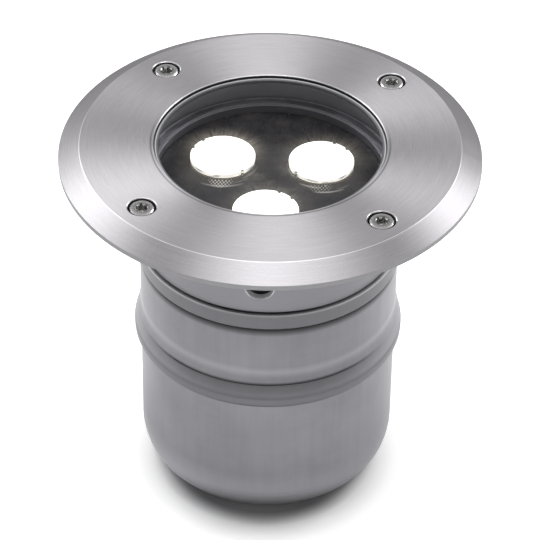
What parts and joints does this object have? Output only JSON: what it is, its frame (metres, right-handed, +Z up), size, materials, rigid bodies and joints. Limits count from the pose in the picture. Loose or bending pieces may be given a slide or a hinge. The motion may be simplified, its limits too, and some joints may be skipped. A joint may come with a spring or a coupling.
{
  "type": "in ground well light",
  "caption": "Round recessed ground light: bevelled steel trim ring with socket screws, thick glass over glowing lenses, and a beaded steel can below.",
  "frame": {"origin": "centre of the can's flat base, where the light stands on a surface", "axes": "+Z up along the can's axis to the trim ring, -Y towards the lens that stands alone, +Y towards the cable grommet"},
  "size_m": [0.12, 0.12, 0.11],
  "materials": {
    "can_cup": "satin",
    "joint_bead": "satin",
    "can_sleeve": "satin",
    "neck_band": "satin",
    "can_neck": "satin",
    "can_flange": "satin",
    "flange_nuts": "plain",
    "cable_grommet": "matt",
    "lamp_housing": "black anodised",
    "cover_o_ring": "matt",
    "glass_gasket": "matt",
    "heat_sink": "as extruded",
    "thermal_pad": "matt",
    "emitter_board": "white coated",
    "board_screws": "plain",
    "front_emitter": "clear dome on a pale base",
    "right_emitter": "clear dome on a pale base",
    "left_emitter": "clear dome on a pale base",
    "front_lens_holder": "matt",
    "right_lens_holder": "matt",
    "left_lens_holder": "matt",
    "front_lens": "glowing, frosted",
    "right_lens": "glowing, frosted",
    "left_lens": "glowing, frosted",
    "plate_standoffs": "plain",
    "optic_plate": "glossy",
    "driver_bracket": "plain",
    "bracket_screws": "plain",
    "driver_case": "matt",
    "terminal_block": "matt",
    "positive_wire": "matt",
    "negative_wire": "matt",
    "gland_body": "nickel plated",
    "gland_locknut": "nickel plated",
    "gland_seal": "matt",
    "gland_nut": "nickel plated",
    "trim_ring": "fine turned",
    "glass_seal": "translucent",
    "glass": "polished",
    "trim_screws": "plain"
  },
  "bodies": {
    "can": {"can_cup": "can_cup", "joint_bead": "joint_bead", "can_sleeve": "can_sleeve", "neck_band": "neck_band", "can_neck": "can_neck", "can_flange": "can_flange", "flange_nuts": "flange_nuts", "cable_grommet": "cable_grommet"},
    "lamp": {"lamp_housing": "lamp_housing", "cover_o_ring": "cover_o_ring", "glass_gasket": "glass_gasket", "heat_sink": "heat_sink", "thermal_pad": "thermal_pad", "emitter_board": "emitter_board", "board_screws": "board_screws", "front_emitter": "front_emitter", "right_emitter": "right_emitter", "left_emitter": "left_emitter", "front_lens_holder": "front_lens_holder", "right_lens_holder": "right_lens_holder", "left_lens_holder": "left_lens_holder", "front_lens": "front_lens", "right_lens": "right_lens", "left_lens": "left_lens", "plate_standoffs": "plate_standoffs", "optic_plate": "optic_plate", "driver_bracket": "driver_bracket", "bracket_screws": "bracket_screws", "driver_case": "driver_case", "terminal_block": "terminal_block", "positive_wire": "positive_wire", "negative_wire": "negative_wire", "gland_body": "gland_body", "gland_locknut": "gland_locknut", "gland_seal": "gland_seal"},
    "cover": {"trim_ring": "trim_ring", "glass_seal": "glass_seal", "glass": "glass"},
    "screws": {"trim_screws": "trim_screws"},
    "gland_nut_body": {"gland_nut": "gland_nut"}
  },
  "joints": [
    {"name": "lamp_lift", "type": "slide", "parent": "can", "child": "lamp", "axis": [0, 0, 1], "range_m": [0, 0.095]},
    {"name": "cover_lift", "type": "slide", "parent": "lamp", "child": "cover", "axis": [0, 0, 1], "range_m": [0, 0.03]},
    {"name": "screws_out", "type": "slide", "parent": "cover", "child": "screws", "axis": [0, 0, 1], "range_m": [0, 0.016]},
    {"name": "gland_turn", "type": "hinge", "parent": "lamp", "child": "gland_nut_body", "pos_m": [0, 0.021, 0.0255], "axis": [0, 0, 1], "range_deg": [0, 720]}
  ]
}
